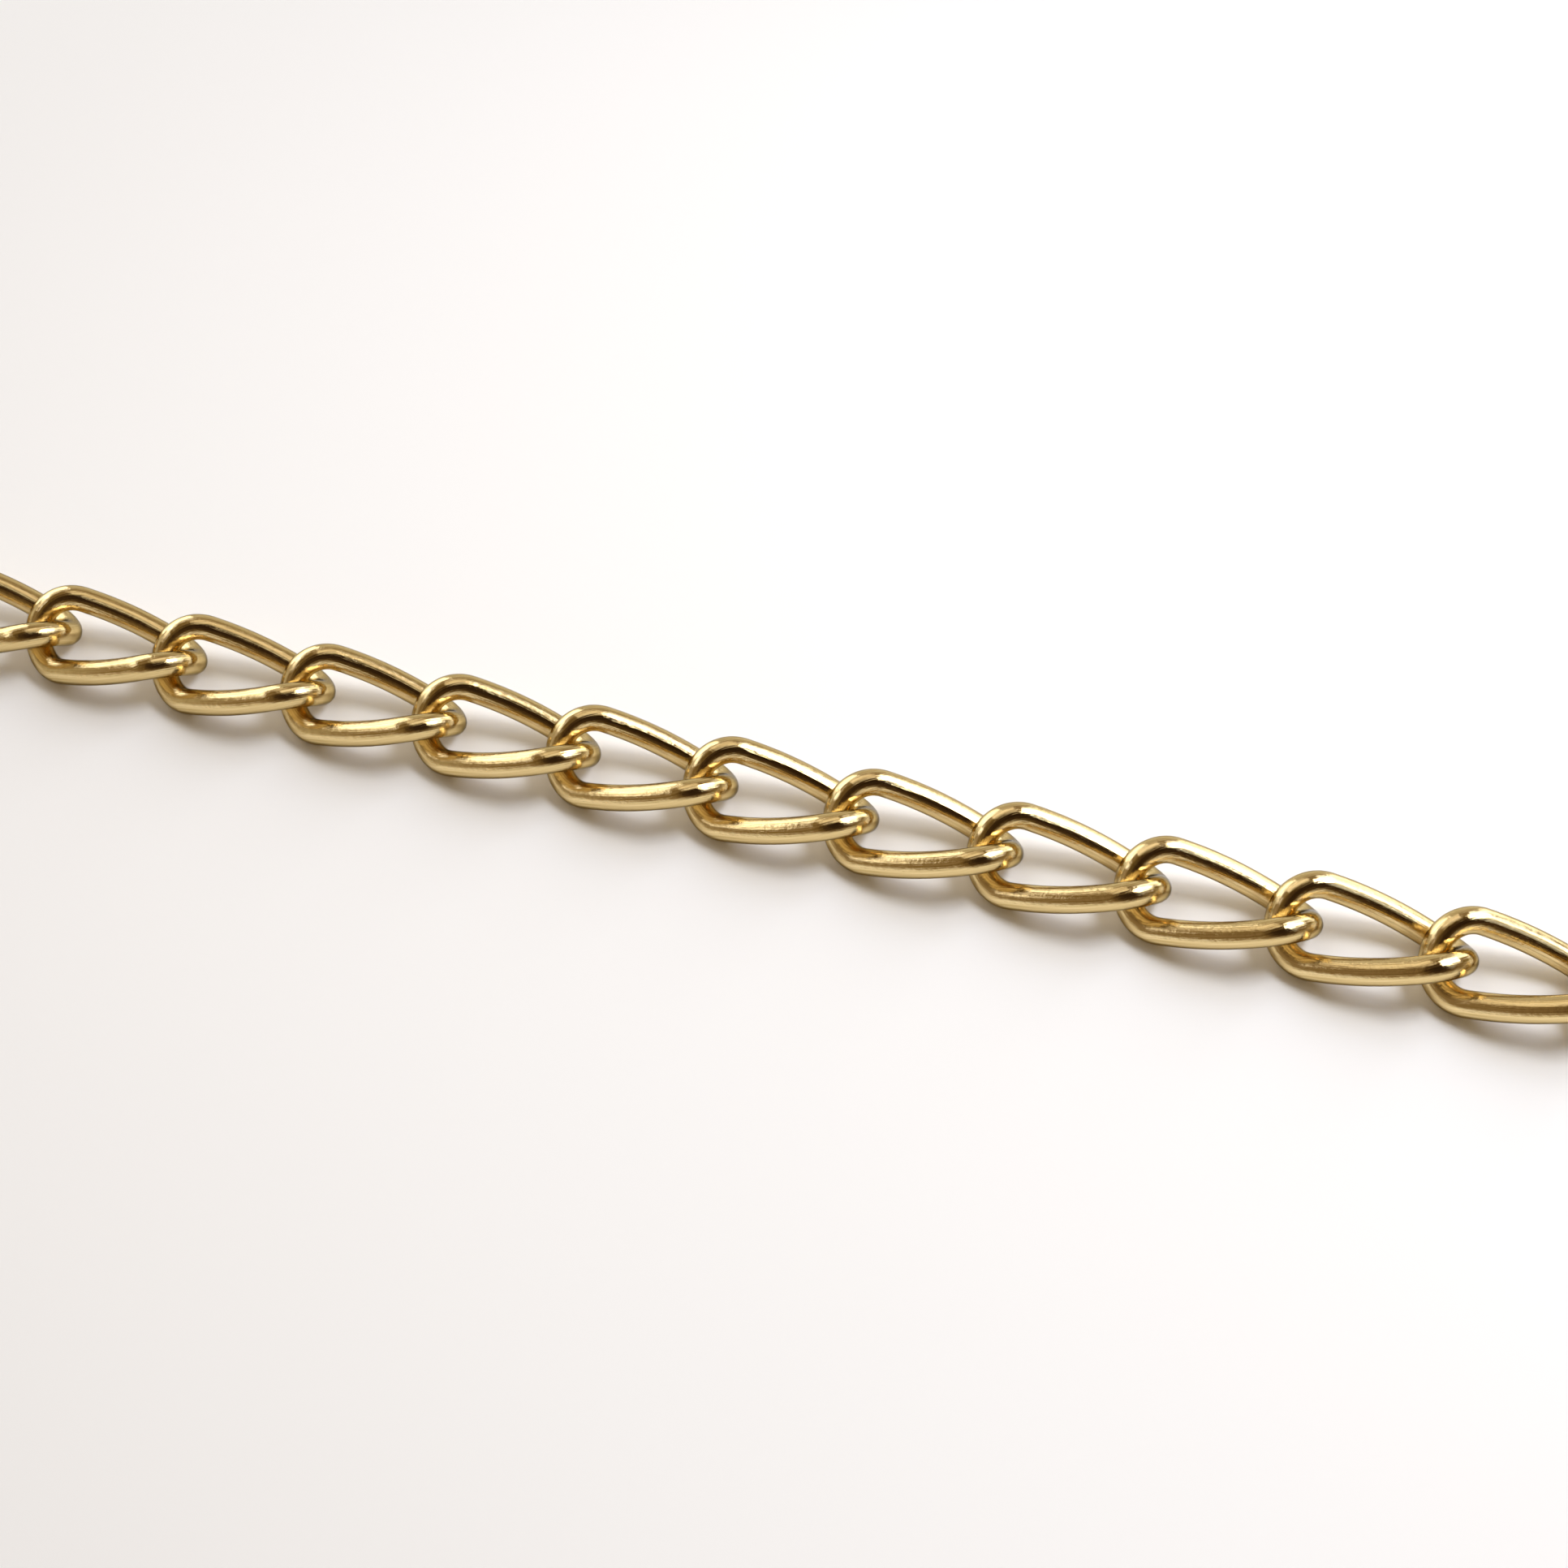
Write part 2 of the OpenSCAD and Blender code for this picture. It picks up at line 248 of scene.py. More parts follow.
wire_gold = gold_plate("gold plate on drawn brass wire, polished", drawn=True)
cast_gold = gold_plate("gold plate on cast brass, polished", drawn=False)


# %% Spring steel
def spring_steel():
    """Cold-rolled spring steel, bright: grey, with fine rolling lines along the strip."""
    material, tree = new_material("spring steel, bright rolled")
    wire = add(tree, "ShaderNodeUVMap", uv_map="wire")
    stretched = add(tree, "ShaderNodeMapping", {"Vector": wire.outputs["UV"], "Scale": (0.5, 12, 1)})
    rolling = add(tree, "ShaderNodeTexNoise", {"Vector": stretched.outputs["Vector"], "Scale": 1.0, "Detail": 3.0})
    scored = add(tree, "ShaderNodeBump", {"Strength": 1.0, "Distance": 1e-6, "Height": rolling.outputs["Fac"]})
    haze = add(tree, "ShaderNodeMapRange", {"Value": rolling.outputs["Fac"], "To Min": 0.22, "To Max": 0.4})
    shader = add(tree, "ShaderNodeBsdfPrincipled", {"Base Color": linear("c3c2bf"), "Metallic": 1.0,
                                                    "Roughness": haze.outputs["Result"],
                                                    "Normal": scored.outputs["Normal"]})
    add(tree, "ShaderNodeOutputMaterial", {"Surface": shader.outputs["BSDF"]})
    return material


steel = spring_steel()
print("finishes:", [material.name for material in (wire_gold, cast_gold, steel)])

# %% [markdown]
# ## The curb link
#
# A link's route needs only a quarter: half of a bow's straight tip, one bend, and half of a leg. Turned half round
# about Y, the quarter gives the far half of the leg and the next bow. Turned half round about Z, that half gives
# the other leg. The route is made of arcs that meet in line, so the wire has no kinks.

# %% The link's route
WIRE_D = 1.4 * MM
LINK_L = 10.54 * MM
BOW_W = 3.02 * MM
BOW_RISE = 3.48 * MM
CORNER_R = 1.85 * MM
BELLY = 0.75 * MM


def unit(v):
    """The direction of v, with length 1."""
    return v / np.linalg.norm(v)


def arc(centre, start, ahead, radius, turn, count):
    """Points on an arc about centre, from the direction start and first towards ahead: a sine and a cosine."""
    angle = np.linspace(0, turn, count)[:, None]
    return centre + radius * (np.cos(angle) * start + np.sin(angle) * ahead)


def evenly(points, count):
    """The same closed route with count points at even steps of its length."""
    route = np.concatenate([points, points[:1]])
    along = np.concatenate([[0], np.cumsum(np.linalg.norm(np.diff(route, axis=0), axis=1))])
    at = np.linspace(0, along[-1], count, endpoint=False)
    return np.stack([np.interp(at, along, route[:, k]) for k in range(3)], axis=1)


def link_route(count):
    """The wire's centre line, closed, as count evenly spaced points in the link's own frame.

    The corner between bow and leg is cut by an arc of radius CORNER_R, and the leg is one large arc through its
    peak. Both are tangent to the straight tip and to each other.
    """
    bow_x = (LINK_L - WIRE_D) / 2
    corner = np.array([bow_x, BOW_W / 2, -BOW_RISE / 2])
    peak = np.array([0, BOW_W / 2 + BELLY, 0])
    bow_dir = unit(np.array([0, BOW_W, -BOW_RISE]))
    leg_dir = unit(peak - corner)
    turn = math.acos(bow_dir @ leg_dir)
    run = CORNER_R * math.tan(turn / 2)
    bend_in = unit(leg_dir - (leg_dir @ bow_dir) * bow_dir)
    bend_centre = corner - run * bow_dir + CORNER_R * bend_in
    leg_turn = 2 * math.asin(leg_dir[1])
    leg_r = (np.linalg.norm(peak - corner) - run) / math.tan(leg_turn / 2)
    leg_centre = peak - np.array([0, leg_r / math.cos(leg_turn / 2), 0])
    leg_out = unit(np.array([0, 1, 0]) - leg_dir[1] * leg_dir)
    tip = np.linspace([bow_x, 0, 0], bend_centre - CORNER_R * bend_in, 12, endpoint=False)
    bend = arc(bend_centre, -bend_in, bow_dir, CORNER_R, turn, 60)
    leg = arc(leg_centre, leg_out, leg_dir, leg_r, leg_turn / 2, 60)
    quarter = np.concatenate([tip, bend, leg[1:]])
    half = np.concatenate([quarter, (quarter * [-1, 1, -1])[-2::-1]])
    whole = np.concatenate([half[:-1], (half * [-1, -1, 1])[:-1]])
    return evenly(whole, count)


# %% A round tube round a closed route
def ring_tube(route, radius, sides):
    """Rings of a tube round a closed route that circles its own middle.

    A ring lies across the route's tangent. Its first direction is the one that points away from the middle, with
    the part along the tangent taken off, so the rings never twist against each other and the last meets the first.
    """
    tangent = np.roll(route, -1, axis=0) - np.roll(route, 1, axis=0)
    tangent /= np.linalg.norm(tangent, axis=1)[:, None]
    away = route - route.mean(axis=0)
    out = away - (away * tangent).sum(axis=1)[:, None] * tangent
    out /= np.linalg.norm(out, axis=1)[:, None]
    side = np.cross(out, tangent)
    angle = np.linspace(0, 2 * math.pi, sides, endpoint=False)[None, :, None]
    return route[:, None] + radius * (np.cos(angle) * out[:, None] + np.sin(angle) * side[:, None])


# %% Thirty-nine links
LINK_RINGS = 200
LINK_SIDES = 32

link_rings = ring_tube(link_route(LINK_RINGS), WIRE_D / 2, LINK_SIDES)
for name, centre, heading in zip(link_names, link_centres, headings):
    points, faces, uvs = shell(placed(link_rings, centre, heading), closed=True)
    piece("curb_" + name, points, faces, wire_gold, name, name, uvs)
print("one link has", len(points), "points")

# %% [markdown]
# ## Cast pieces from distances
#
# The fittings are cast and polished, so their forms flow into one another and no edge is sharp. Such a form is
# easiest to write as a distance: a function that is negative inside the metal, zero on its surface and positive
# outside. Joining two forms takes the lesser of two distances, cutting takes the greater, and a soft lesser or
# greater leaves a fillet.

# %% Distances
def length(*parts):
    """Length of the vector with these parts, each an array."""
    return np.sqrt(sum(part * part for part in parts))


def join(a, b, blend=0.0):
    """Both forms: min(a, b) - h h blend / 4, with h = max(1 - |a - b| / blend, 0). blend is the fillet's width."""
    if blend == 0:
        return np.minimum(a, b)
    h = np.clip(1 - np.abs(a - b) / blend, 0, None)
    return np.minimum(a, b) - h * h * blend / 4


def carve(a, b, blend=0.0):
    """The form a without the form b, the edge of the cut softened over the width blend."""
    return -join(-a, b, blend)


def slab(flat, across, half, edge):
    """A flat shape, given by its distance, that reaches half each way across, with edges rounded to radius edge."""
    a, b = flat + edge, np.abs(across) - half + edge
    return np.minimum(np.maximum(a, b), 0) + length(np.clip(a, 0, None), np.clip(b, 0, None)) - edge


def box(x, y, x_low, x_high, y_low, y_high):
    """Distance to a flat rectangle."""
    a = np.abs(x - (x_low + x_high) / 2) - (x_high - x_low) / 2
    b = np.abs(y - (y_low + y_high) / 2) - (y_high - y_low) / 2
    return np.minimum(np.maximum(a, b), 0) + length(np.clip(a, 0, None), np.clip(b, 0, None))


def turned(x, y, z, x_low, x_high, radius, edge):
    """A round bar along X."""
    return slab(length(y, z) - radius, x - (x_low + x_high) / 2, (x_high - x_low) / 2, edge)


def ring(x, y, z, centre_x, radius, wire, tilt):
    """A ring of round wire about Z that is tilted about X: the distance to its circle, less the wire's radius."""
    c, s = math.cos(math.radians(tilt)), math.sin(math.radians(tilt))
    return length(length(x - centre_x, c * y + s * z) - radius, c * z - s * y) - wire / 2


# %% A skin on a distance
def skin(field, low, high, cell):
    """Vertices and faces of the surface where field(x, y, z) is 0, by surface nets, all in millimetres.

    Space is cut into cubes of edge cell. Each cube that the surface crosses gets one point, the mean of the places
    where its edges cross the surface. Each crossing edge gets one face, through the four cubes round that edge.
    Newton's step, p - f grad f / |grad f|^2, then puts every point on the surface itself.
    """
    axes = [np.arange(a - 2 * cell, b + 3 * cell, cell) for a, b in zip(low, high)]
    grid = np.stack(np.meshgrid(*axes, indexing="ij"), axis=-1)
    value = field(*np.moveaxis(grid, -1, 0))
    cubes = np.array(value.shape) - 1
    total, hits = np.zeros((*cubes, 3)), np.zeros(cubes)
    edges = []
    for axis in range(3):
        b, c = (axis + 1) % 3, (axis + 2) % 3
        here, after = [np.take(value, range(k, k + cubes[axis]), axis) for k in (0, 1)]
        crossed = (here < 0) != (after < 0)
        spot = np.take(grid, range(cubes[axis]), axis).copy()
        spot[..., axis] += cell * here / np.where(crossed, here - after, 1)
        for shift_b, shift_c in ((0, 0), (0, 1), (1, 0), (1, 1)):
            part = [slice(None)] * 3
            part[b], part[c] = slice(shift_b, shift_b + cubes[b]), slice(shift_c, shift_c + cubes[c])
            hit = crossed[tuple(part)]
            total[hit] += spot[tuple(part)][hit]
            hits[hit] += 1
        edges.append((np.argwhere(crossed), here[crossed] < 0, np.eye(3, dtype=int)[b], np.eye(3, dtype=int)[c]))
    points = total[hits > 0] / hits[hits > 0][:, None]
    index = np.cumsum(hits.ravel() > 0).reshape(hits.shape) - 1
    faces = []
    for at, leaving, b, c in edges:
        quads = np.stack([index[tuple((at - off).T)] for off in (b + c, c, 0 * b, b)], axis=1)
        faces.append(np.where(leaving[:, None], quads, quads[:, ::-1]))
    for _ in range(3):
        nudge = cell / 20
        slope = np.stack([field(*(points + step).T) - field(*(points - step).T) for step in nudge * np.eye(3)],
                         axis=1) / (2 * nudge)
        move = field(*points.T) / np.clip((slope ** 2).sum(axis=1), 0.3, None)
        points = points - np.clip(move, -cell / 2, cell / 2)[:, None] * slope
    return points, np.concatenate(faces).tolist()


# %% [markdown]
# ## The T-bar
#
# The bar goes through a buttonhole crosswise, so it is smooth and ends in balls. A bead at its middle carries a
# short stem and a loop, and the loop's ring is leaned over so that it passes the first link's wires.

# %% T-bar
LOOP_X, LOOP_R, LOOP_WIRE, LOOP_TILT = 5.82, 2.6, 1.1, 20
BAR_X, BAR_L, BAR_D, BALL_D = 11.77, 26.0, 2.2, 3.6
BEAD_D, BEAD_W, STEM_D = 3.2, 2.4, 1.3
BAND_BACK, BAND_R = 2.1, 0.32
FOOT_IN, FOOT_OUT, FOOT_WIDER = 0.3, 0.12, 0.2


def t_bar(x, y, z):
    """A bar along Y, a ball at each end with a small band before it, and a rounded bead at the middle."""
    along, reach = np.abs(y), BAR_L / 2 - BALL_D / 2
    bar = slab(length(x - BAR_X, z) - BAR_D / 2, y, reach, 0.1)
    ball = length(x - BAR_X, along - reach, z) - BALL_D / 2
    band = length(length(x - BAR_X, z) - BAR_D / 2 - 0.05, along - reach + BAND_BACK) - BAND_R
    bead = slab(length(x - BAR_X, z) - BEAD_D / 2, y, BEAD_W / 2, 0.55)
    return join(join(join(bar, ball, 0.5), bead, 0.35), band, 0.15)


def t_bar_loop(x, y, z):
    """A ring and a stem that widens where it meets the ring and where it meets the bead."""
    bead_x = BAR_X - BEAD_D / 2
    stem = turned(x, y, z, LOOP_X + LOOP_R, bead_x + FOOT_IN, STEM_D / 2, 0.05)
    foot = turned(x, y, z, bead_x - FOOT_OUT, bead_x + FOOT_IN, STEM_D / 2 + FOOT_WIDER, 0.1)
    return join(ring(x, y, z, LOOP_X, LOOP_R, LOOP_WIRE, LOOP_TILT), join(stem, foot, 0.2), 0.5)


points, faces = skin(t_bar, (BAR_X - 1.8, -13, -1.8), (BAR_X + 1.8, 13, 1.8), 0.1)
piece("t_bar_cast", at_bar_end(points * MM), faces, cast_gold, "t_bar", "t_bar")
print("T-bar:", len(faces), "faces")
points, faces = skin(t_bar_loop, (2.6, -3.2, -1.7), (BAR_X - 1.2, 3.2, 1.7), 0.08)
piece("t_bar_loop_cast", at_bar_end(points * MM), faces, cast_gold, "t_bar", "t_bar_loop")
print("T-bar's loop:", len(faces), "faces")

# %% [markdown]
# ## The swivel
#
# The watch must be able to turn without twisting the chain. The eye has a shank that runs into the clip's collar,
# and the shank's riveted head turns in a hollow there.

# %% Swivel eye
EYE_X, EYE_R, EYE_WIRE, EYE_TILT = 5.22, 2.0, 1.1, 35
SHOULDER_X, COLLAR_X, CAVITY_X = 7.495, 8.445, 10.245
SHANK_D, SHOULDER_D, SHOULDER_T, HEAD_D, HEAD_T, HEAD_PLAY = 1.6, 2.4, 0.8, 2.4, 0.8, 0.15


def swivel_eye(x, y, z):
    """A leaned ring that flows into a shoulder, then the plain shank and its rounded head."""
    eye = ring(x, y, z, EYE_X, EYE_R, EYE_WIRE, EYE_TILT)
    shoulder = turned(x, y, z, SHOULDER_X, SHOULDER_X + SHOULDER_T, SHOULDER_D / 2, 0.22)
    head_x = CAVITY_X + HEAD_PLAY
    head = turned(x, y, z, head_x, head_x + HEAD_T, HEAD_D / 2, 0.25)
    shank = turned(x, y, z, SHOULDER_X, head_x + HEAD_T / 2, SHANK_D / 2, 0.05)
    return join(join(join(eye, shoulder, 0.4), shank), head)


points, faces = skin(swivel_eye, (2.6, -2.6, -1.7), (CAVITY_X + 1.0, 2.6, 1.7), 0.07)
piece("swivel_eye_cast", at_clip_end(points * MM), faces, cast_gold, "swivel_eye", "swivel_eye")
print("swivel eye:", len(faces), "faces")

# %% [markdown]
# ## The clip
#
# One casting holds the swivel in its collar and the trigger in its round housing, and ends in the hook that the
# watch's bow hangs in. Its outline in the XY plane is a shape wrapped round two circles, with a smaller one of the
# same kind cut out, and a mouth cut on the side where the trigger closes it.

# %% Clip body
COLLAR_D, COLLAR_L, WEB_L = 3.6, 3.9, 1.0
HOUSING_X, HOUSING_R, HOUSING_T = 15.245, 3.4, 3.4
HOOK_X, HOOK_R, HOOK_W, HOOK_T = 24.045, 3.3, 2.2, 2.2
THROAT_X, THROAT_R = 21.445, 2.9
TIP_X, TIP_Y, TIP_R = 23.145, -4.342, 1.1
SLOT_X, SLOT_TOP, SLOT_T = 13.545, 1.4, 1.5
PIVOT_X, PIVOT_Y, PIN_D = 15.845, -1.4, 0.9
BORE_R, CAVITY_R, PIN_PLAY = 0.85, 1.35, 0.05
GROOVES_AT, GROOVE_W, GROOVE_DEEP = (0.75, 3.1), 0.13, 0.16


def wrapped(x, y, x1, r1, x2, r2):
    """Distance to the flat shape that a string pulled round two circles on the X axis encloses.

    With b = (r1 - r2) / (x2 - x1) and a = sqrt(1 - b b), the string leaves each circle in the direction (b, a).
    """
    span = x2 - x1
    b = (r1 - r2) / span
    a = math.sqrt(1 - b * b)
    along, across = x - x1, np.abs(y)
    where = a * along - b * across
    straight = a * across + b * along - r1
    return np.where(where < 0, length(along, across) - r1,
                    np.where(where > a * span, length(along - span, across) - r2, straight))


def clip_body(x, y, z):
    """Collar, housing and hook in one, less the swivel's bores, the trigger's slot and the pin's hole."""
    outline = wrapped(x, y, HOUSING_X, HOUSING_R, HOOK_X, HOOK_R + HOOK_W)
    outline = carve(outline, wrapped(x, y, THROAT_X, THROAT_R, HOOK_X, HOOK_R))
    round_tip = np.where(x < TIP_X, length(x - TIP_X, y - TIP_Y) - TIP_R, outline)
    outline = np.where((x > TIP_X - 2) & (y < -2), round_tip, carve(outline, box(x, y, HOUSING_X, TIP_X, -9, 0)))
    hook = slab(outline, z, HOOK_T / 2, 0.75)
    housing = slab(length(x - HOUSING_X, y) - HOUSING_R, z, HOUSING_T / 2, 0.5)
    grooves = sum(np.exp(-((x - COLLAR_X - at) / GROOVE_W) ** 2) for at in GROOVES_AT)
    collar = turned(x, y, z, COLLAR_X, COLLAR_X + COLLAR_L, COLLAR_D / 2 - GROOVE_DEEP * grooves, 0.3)
    collar = join(collar, turned(x, y, z, COLLAR_X + 1, COLLAR_X + COLLAR_L + WEB_L, COLLAR_D / 2 - 0.25, 0.3))
    metal = np.maximum(join(join(housing, hook, 0.7), collar, 0.5), np.abs(z) - COLLAR_D / 2)
    bore = turned(x, y, z, COLLAR_X - 1, CAVITY_X + 0.5, BORE_R, 0.01)
    cavity = turned(x, y, z, CAVITY_X, CAVITY_X + HEAD_T + 2 * HEAD_PLAY, CAVITY_R, 0.05)
    slot = slab(box(x, y, SLOT_X, 22, -9, SLOT_TOP), z, SLOT_T / 2, 0.05)
    pin_hole = length(x - PIVOT_X, y - PIVOT_Y) - PIN_D / 2 - PIN_PLAY
    return carve(carve(carve(metal, join(bore, cavity), 0.1), slot, 0.16), pin_hole, 0.14)


points, faces = skin(clip_body, (COLLAR_X, -5.5, -1.8), (HOOK_X + HOOK_R + HOOK_W, 5.5, 1.8), 0.1)
piece("clip_cast", at_clip_end(points * MM), faces, cast_gold, "clip", "clip_body")
print("clip:", len(faces), "faces")

# %% [markdown]
# ## The trigger, its pin and its spring
#
# The trigger turns on the pin, and its arm springs back against the inside of the hook's tip. The thumb tab has
# fine ridges for grip. The leaf spring bends as the trigger turns, its fixed end on the clip and its free end on
# the arm. Here it is built in one fixed shape, at rest.

# %% Trigger
ROOT_R, ARM_W, ARM_T, ARM_L, ARM_A = 1.2, 1.2, 1.3, 7.685, -8.549
TAB_X, TAB_L, TAB_D = 3.7, 3.0, 1.3
RIDGE_STEP, RIDGE_DEEP, RIDGES_FROM = 0.42, 0.14, 1.3


def trigger(x, y, z):
    """The outline of a root round the pin, an arm with a round end and a ridged tab, given its thickness."""
    arm = join(box(x, y, 0, ARM_L, -ARM_W / 2 + 0.2, ARM_W / 2 - 0.2) - 0.2, length(x - ARM_L, y) - ARM_W / 2)
    ridges = RIDGE_DEEP / 2 * (1 + np.cos(2 * math.pi * y / RIDGE_STEP)) * (y < -RIDGES_FROM)
    tab = length(x - TAB_X, np.clip(-y - TAB_L, 0, None)) - TAB_D / 2 + ridges
    outline = join(join(arm, length(x, y) - ROOT_R, 0.4), np.maximum(tab, y), 0.4)
    return carve(slab(outline, z, ARM_T / 2, 0.2), length(x, y) - PIN_D / 2 - 0.04, 0.06)


points, faces = skin(trigger, (-1.2, -3.7, -0.65), (8.3, 1.2, 0.65), 0.06)
points = placed(points, np.array([PIVOT_X, PIVOT_Y, 0]), math.radians(ARM_A))
piece("trigger_cast", at_clip_end(points * MM), faces, cast_gold, "trigger", "trigger")
print("trigger:", len(faces), "faces")


# %% Pin
PIN_EDGE, PIN_DOME = 0.12, 0.03
PIN_SIDES = 48


def pin_rings(radius, half):
    """Rings of a pin along Z with low domed ends: the profile runs from pole to pole, rounded by a quarter turn."""
    quarter = np.linspace(0, math.pi / 2, 9)
    r = np.concatenate([[0.02, (radius - PIN_EDGE) * 0.6], radius - PIN_EDGE + PIN_EDGE * np.sin(quarter)])
    h = half - np.concatenate([[0, 0.005], PIN_DOME + PIN_EDGE * (1 - np.cos(quarter))])
    r, h = np.concatenate([r, r[::-1]])[:, None], np.concatenate([-h, h[::-1]])[:, None]
    angle = -np.linspace(0, 2 * math.pi, PIN_SIDES, endpoint=False)
    return np.stack([r * np.cos(angle), r * np.sin(angle), np.repeat(h, PIN_SIDES, 1)], axis=2)


points, faces, _ = shell(pin_rings(PIN_D / 2, HOUSING_T / 2) + [PIVOT_X, PIVOT_Y, 0])
piece("trigger_pin_turned", at_clip_end(points * MM), faces, cast_gold, "clip", "trigger_pin")

# %% Leaf spring
LEAF_T, LEAF_BOW = 0.25, 0.1
LEAF_START, LEAF_END = (13.545, 1.275), (18.395, -0.958)
LEAF_RINGS, LEAF_SIDES = 24, 32


def leaf_rings():
    """Rings of a thin strip that runs, bowed a little upwards, from the slot's end wall to the arm."""
    share = np.linspace(0, 1, LEAF_RINGS)
    x = LEAF_START[0] + share * (LEAF_END[0] - LEAF_START[0])
    y = LEAF_START[1] + share * (LEAF_END[1] - LEAF_START[1]) + LEAF_BOW * np.sin(math.pi * share)
    angle = np.linspace(0, 2 * math.pi, LEAF_SIDES, endpoint=False)
    corner = [np.sign(wave) * np.abs(wave) ** 0.25 for wave in (np.cos(angle), np.sin(angle))]
    up, out = LEAF_T / 2 * corner[0], ARM_T / 2 * corner[1]
    return np.stack([np.repeat(x[:, None], LEAF_SIDES, 1), y[:, None] + up, np.repeat(out[None], LEAF_RINGS, 0)],
                    axis=2)


points, faces, uvs = shell(leaf_rings())
leaf = piece("trigger_spring_leaf", at_clip_end(points * MM), faces, steel, None, "trigger_spring",
             uvs)
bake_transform(leaf)

# %% [markdown]
# ## The camera
#
# The camera looks at the middle of the straight run from in front, high up and a little to the right, through a
# lens a little longer than normal.

# %% Camera
AZIMUTH, ELEVATION, ROLL = 18.78, 52.63, -2.06
DISTANCE = 129.66 * MM
LENS = 57.2


def aim_camera(target, azimuth, elevation, roll, distance, lens):
    """A camera at a distance from target, its angles in degrees. Azimuth 0 looks along +Y, and roll turns it."""
    azimuth, elevation, roll = math.radians(azimuth), math.radians(elevation), math.radians(roll)
    back = np.array([math.sin(azimuth) * math.cos(elevation), -math.cos(azimuth) * math.cos(elevation),
                     math.sin(elevation)])
    level = unit(np.cross(-back, [0, 0, 1]))
    above = np.cross(level, -back)
    right = math.cos(roll) * level + math.sin(roll) * above
    up = math.cos(roll) * above - math.sin(roll) * level
    data = bpy.data.cameras.new("camera")
    data.lens = lens
    data.clip_start = 0.005
    made = bpy.data.objects.new("camera", data)
    bpy.context.scene.collection.objects.link(made)
    place = np.eye(4)
    place[:3, :4] = np.stack([right, up, back, target + distance * back], axis=1)
    made.matrix_world = place.T.tolist()
    bpy.context.scene.camera = made


middle_centre = link_centres[link_count // 2]
view_target = middle_centre + np.array([-0.12, 1.09, 0]) * MM
aim_camera(view_target, AZIMUTH, ELEVATION, ROLL, DISTANCE, LENS)

# %% [markdown]
# ## Floor and light
#
# Polished metal shows its surroundings more than itself, so the light is set out for the reflections. The chain
# lies on white card. A broad panel behind and to the right gives each wire its white band, and a small bright one
# above it throws the shadow. Dimmer panels low down, far to the right and on the left light the other sides. The
# room is pale behind the chain and dark high up in front of it, which gives the wires their dark line. Round the
# horizon it is a plain pale backdrop.

# %% Floor
FLOOR_HALF = 1.5
CARD = "f9f7ef"
BACKDROP = "f8f6f3"
FADE_FROM, FADE_TO = 0.09, 0.17


def white_card():
    """Matt white card: a high, faintly warm albedo and no gloss.

    Between FADE_FROM and FADE_TO from the middle, what the camera and the metal see of the card turns into the pale
    backdrop's colour, so the card has no visible end.
    """
    material, tree = new_material("white card, matt")
    card = add(tree, "ShaderNodeBsdfPrincipled", {"Base Color": linear(CARD), "Roughness": 0.9,
                                                  "Specular IOR Level": 0.1})
    backdrop = add(tree, "ShaderNodeEmission", {"Color": linear(BACKDROP), "Strength": 1.0})
    place = add(tree, "ShaderNodeTexCoord")
    distance = add(tree, "ShaderNodeVectorMath", {0: place.outputs["Object"]}, operation="LENGTH")
    far = add(tree, "ShaderNodeMapRange", {"Value": distance.outputs["Value"], "From Min": FADE_FROM,
                                           "From Max": FADE_TO}, interpolation_type="SMOOTHSTEP")
    seen = add(tree, "ShaderNodeLightPath")
    direct = add(tree, "ShaderNodeMath", {0: seen.outputs["Is Camera Ray"], 1: seen.outputs["Is Glossy Ray"]},
                 operation="MAXIMUM")
    direct = add(tree, "ShaderNodeMath", {0: direct.outputs["Value"], 1: seen.outputs["Is Transmission Ray"]},
                 operation="MAXIMUM")
    share = add(tree, "ShaderNodeMath", {0: far.outputs["Result"], 1: direct.outputs["Value"]}, operation="MULTIPLY")
    surface = add(tree, "ShaderNodeMixShader", {0: share.outputs["Value"], 1: card.outputs["BSDF"],
                                                2: backdrop.outputs["Emission"]})
    add(tree, "ShaderNodeOutputMaterial", {"Surface": surface.outputs["Shader"]})
    return material


def flat_floor():
    """The card: one square face in the plane that the chain lies on."""
    mesh = bpy.data.meshes.new("floor")
    corners = [(x * FLOOR_HALF, y * FLOOR_HALF, 0) for x, y in ((-1, -1), (1, -1), (1, 1), (-1, 1))]
    mesh.from_pydata(corners, [], [(0, 1, 2, 3)])
    mesh.materials.append(white_card())
    made = bpy.data.objects.new("floor", mesh)
    bpy.context.scene.collection.objects.link(made)


flat_floor()


# %% Light panels
def light_panel(name, azimuth, elevation, width, height, brightness, colour, distance=0.25):
    """A flat lamp that faces the chain's middle from a distance. Azimuth 0 is behind the chain, 90 to its right.

    Angles are in degrees, sizes in metres. A flat lamp of area A that shines with brightness L gives out pi A L
    watts.
    """
    across, rise = math.radians(azimuth), math.radians(elevation)
    back = np.array([math.sin(across) * math.cos(rise), math.cos(across) * math.cos(rise), math.sin(rise)])
    right = unit(np.cross([0, 0, 1], back))
    data = bpy.data.lights.new(name, "AREA")
    data.shape = "RECTANGLE"
    data.size, data.size_y = width, height
    data.energy = math.pi * width * height * brightness
    data.color = linear(colour)[:3]
    made = bpy.data.objects.new(name, data)
    made.visible_camera = False
    bpy.context.scene.collection.objects.link(made)
    place = np.eye(4)
    place[:3, :4] = np.stack([right, np.cross(back, right), back, middle_centre + distance * back], axis=1)
    made.matrix_world = place.T.tolist()


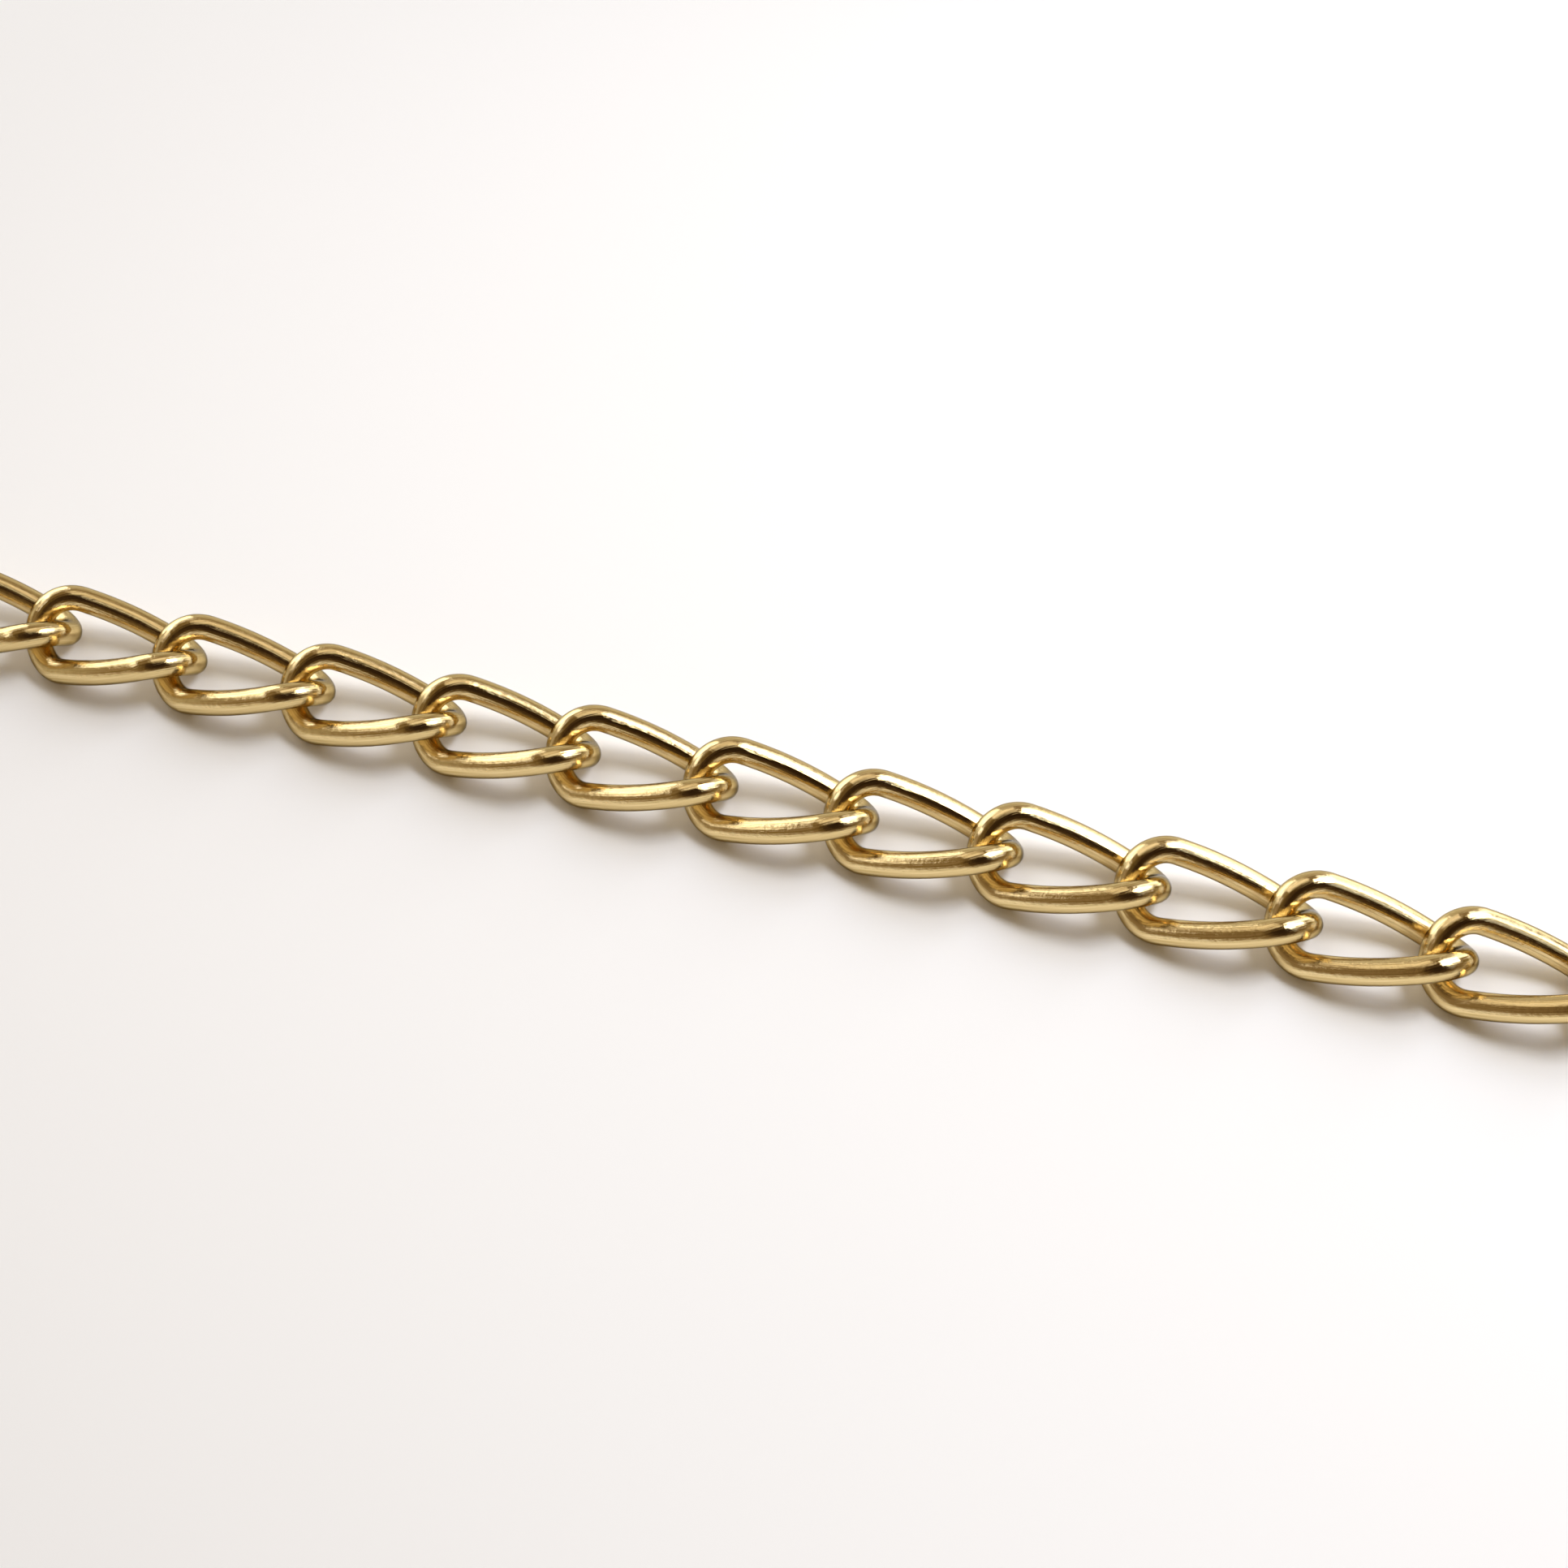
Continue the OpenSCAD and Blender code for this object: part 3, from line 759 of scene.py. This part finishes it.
light_panel("right panel", 50, 44, 0.17, 0.13, 4.3, "dde6ff")
light_panel("upper right panel", 70, 57.5, 0.08, 0.065, 18.0, "eef2ff")
light_panel("low right panel", 30, 14, 0.09, 0.12, 2.3, "e6eeff")
light_panel("far right panel", 90, 44, 0.10, 0.09, 0.9, "e6eeff")
light_panel("left panel", -60, 21, 0.29, 0.30, 2.3, "e8ecf8", distance=0.4)
light_panel("upper left panel", -100, 37, 0.14, 0.05, 2.2, "e8ecf8")
light_panel("near left panel", -35, 76, 0.075, 0.07, 0.85, "f8f4ee", distance=0.101)


# %% Room
DARKEST = (0.413, -0.492, 0.766)
ROOM_STOPS = ((0.0, "e0d9ca"), (0.30, "e2dacb"), (0.46, "d6cdb8"), (0.56, "aa967a"), (0.64, "a08c70"),
              (0.76, "9a8568"), (0.86, "86704f"), (0.94, "4a3826"), (1.0, "33251a"))
ROOM_LIGHT = 0.85
BAND_LOW, BAND_HIGH = 0.02, 0.14


def pale_room():
    """A world with a plain pale backdrop round the horizon, pale walls behind and a dark place high up in front.

    The ramp runs on how far a direction points towards the darkest place: 0 is straight away from it, 1 is at it.
    The backdrop gives way to the room where a direction's height, its Z, goes from BAND_LOW to BAND_HIGH.
    """
    world = bpy.data.worlds.new("pale room")
    bpy.context.scene.world = world
    world.use_nodes = True
    tree = world.node_tree
    tree.nodes.clear()
    place = add(tree, "ShaderNodeTexCoord")
    side = add(tree, "ShaderNodeVectorMath", {0: place.outputs["Generated"], 1: DARKEST},
               operation="DOT_PRODUCT")
    share = add(tree, "ShaderNodeMath", {0: side.outputs["Value"], 1: 0.5, 2: 0.5}, operation="MULTIPLY_ADD")
    ramp = add(tree, "ShaderNodeValToRGB", {"Fac": share.outputs["Value"]})
    stops = ramp.color_ramp.elements
    for position, _ in ROOM_STOPS[1:-1]:
        stops.new(position)
    for stop, (_, code) in zip(stops, ROOM_STOPS):
        stop.color = linear(code)
    room = add(tree, "ShaderNodeBackground", {"Color": ramp.outputs["Color"], "Strength": ROOM_LIGHT})
    backdrop = add(tree, "ShaderNodeBackground", {"Color": linear(BACKDROP), "Strength": 1.0})
    height = add(tree, "ShaderNodeSeparateXYZ", {"Vector": place.outputs["Generated"]})
    low = add(tree, "ShaderNodeMapRange", {"Value": height.outputs["Z"], "From Min": BAND_LOW, "From Max": BAND_HIGH,
                                           "To Min": 1.0, "To Max": 0.0}, interpolation_type="SMOOTHSTEP")
    both = add(tree, "ShaderNodeMixShader", {0: low.outputs["Result"], 1: room.outputs["Background"],
                                             2: backdrop.outputs["Background"]})
    add(tree, "ShaderNodeOutputWorld", {"Surface": both.outputs["Shader"]})


pale_room()
bpy.context.scene.view_settings.view_transform = "Standard"
